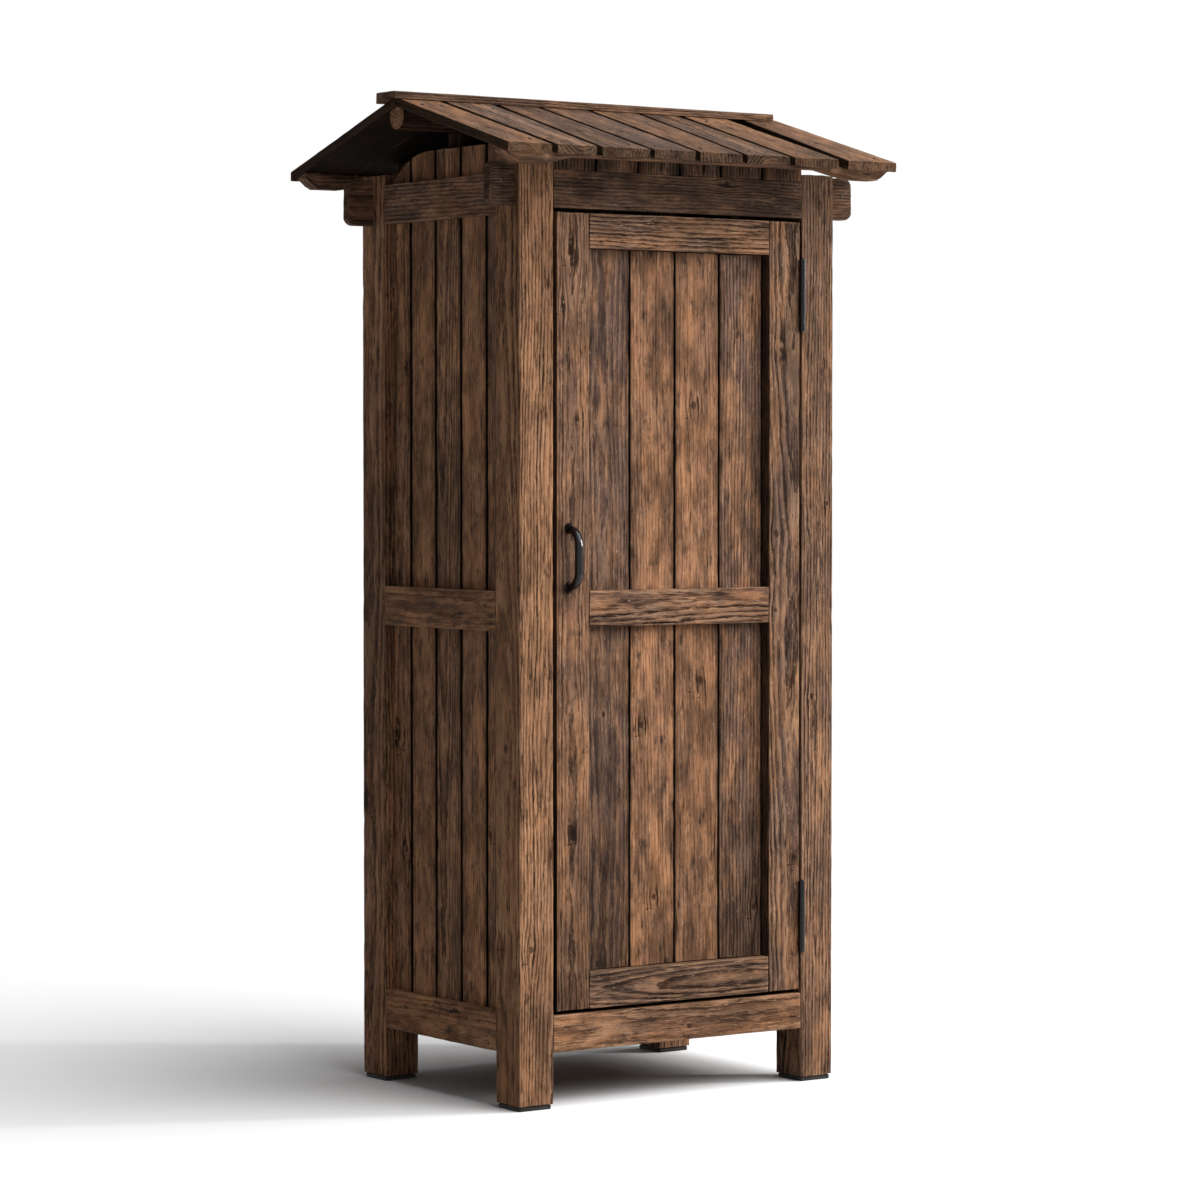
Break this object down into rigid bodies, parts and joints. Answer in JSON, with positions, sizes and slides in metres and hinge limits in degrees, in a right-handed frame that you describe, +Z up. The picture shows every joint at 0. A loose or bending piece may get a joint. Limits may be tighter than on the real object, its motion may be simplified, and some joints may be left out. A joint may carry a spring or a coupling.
{
  "type": "garden storage shed",
  "caption": "Tall narrow timber garden storage shed on four legs, with a framed plank door hung on the right and an overhanging plank gable roof.",
  "frame": {"origin": "on the ground, under the middle of the roof's outline", "axes": "+Z up; the door faces -Y; +X points to the hinge side, on the right seen from the front"},
  "size_m": [0.867, 0.732, 1.8],
  "materials": {
    "frame_timber": "weathered brown pine frame, brushed grain",
    "plank_timber": "weathered dark brown pine planks",
    "door_timber": "weathered mid brown pine, brushed grain",
    "roof_timber": "sun-worn brown pine planks",
    "black_iron": "glossy black paint on forged iron",
    "black_pad": "matt black"
  },
  "bodies": {
    "cabinet": {"post_front_left": "frame_timber", "post_front_right": "frame_timber", "post_rear_left": "frame_timber", "post_rear_right": "frame_timber", "foot_pads": "black_pad", "front_plate": "frame_timber", "rear_plate": "frame_timber", "front_lintel": "frame_timber", "front_bottom_rail": "frame_timber", "front_frieze": "plank_timber", "left_top_rail": "frame_timber", "left_mid_rail": "frame_timber", "left_bottom_rail": "frame_timber", "left_wall": "plank_timber", "right_top_rail": "frame_timber", "right_mid_rail": "frame_timber", "right_bottom_rail": "frame_timber", "right_wall": "plank_timber", "rear_top_rail": "frame_timber", "rear_mid_rail": "frame_timber", "rear_bottom_rail": "frame_timber", "rear_wall": "plank_timber", "rear_frieze": "plank_timber", "floor": "plank_timber", "floor_joists": "plank_timber", "left_king_post": "frame_timber", "right_king_post": "frame_timber", "ridge_pole": "frame_timber", "front_eaves_batten": "frame_timber", "rear_eaves_batten": "frame_timber", "front_roof_slope": "roof_timber", "rear_roof_slope": "roof_timber", "ridge_cap": "roof_timber", "door_stop": "plank_timber", "hinge_frame_leaves": "black_iron"},
    "door": {"door_latch_stile": "door_timber", "door_hinge_stile": "door_timber", "door_top_rail": "door_timber", "door_mid_rail": "door_timber", "door_bottom_rail": "door_timber", "door_panel": "door_timber", "door_handle": "black_iron", "hinge_door_leaves": "black_iron"}
  },
  "joints": [
    {"name": "door_hinge", "type": "hinge", "parent": "cabinet", "child": "door", "pos_m": [0.295, -0.2651, 0.877], "axis": [0, 0, 1], "range_deg": [0, 175]}
  ]
}
